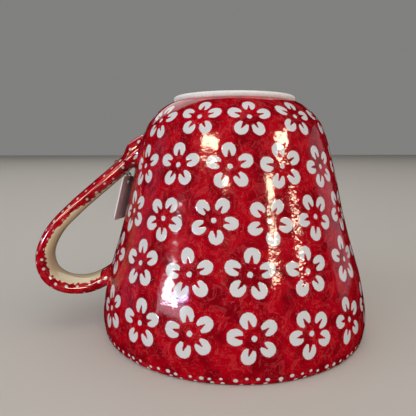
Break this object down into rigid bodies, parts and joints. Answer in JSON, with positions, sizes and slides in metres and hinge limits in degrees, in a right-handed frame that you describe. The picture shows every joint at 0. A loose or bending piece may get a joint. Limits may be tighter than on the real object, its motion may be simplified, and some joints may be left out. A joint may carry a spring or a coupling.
{
  "type": "stoneware mug",
  "caption": "Wide-mouthed stoneware mug tapering to a small bare foot, with a pulled strap handle and a blank card tag hanging on a thread from the handle. Stored mouth down.",
  "frame": {"origin": "middle of the base of the part's bounding box, on the plane the rim rests on. The bowl's own axis stands at x = +13.55 mm, because the handle reaches the other way.", "axes": "+Z runs from the rim up to the foot: the mug is stored mouth down, as it stands on a shelf, and is turned over to drink from. +X points away from the handle, which reaches out along -X and lies in the y = 0 plane."},
  "size_m": [0.1391, 0.112, 0.0965],
  "materials": {
    "glaze": "glossy clear glaze over a red ground with stamped flowers",
    "bare_clay": "bare fired stoneware, matte",
    "card": "uncoated card",
    "thread": "twisted cotton thread"
  },
  "bodies": {
    "mug": {"mug_body": "glaze", "foot_ring": "bare_clay", "handle": "glaze", "slip_joint_foot_end": "glaze", "slip_joint_rim_end": "glaze", "thread_band": "thread", "thread_knot": "thread"},
    "link": {"thread_link": "thread"},
    "tag": {"tag_card": "card"}
  },
  "joints": [
    {"name": "tag_swing", "type": "hinge", "parent": "mug", "child": "link", "pos_m": [-0.03065, 0, 0.06474], "axis": [0, 1, 0], "range_deg": [0, 18]},
    {"name": "tag_sway", "type": "hinge", "parent": "link", "child": "tag", "pos_m": [-0.03121, 0, 0.06251], "axis": [0.9415, -0.2419, -0.2347], "range_deg": [-10, 10]}
  ]
}
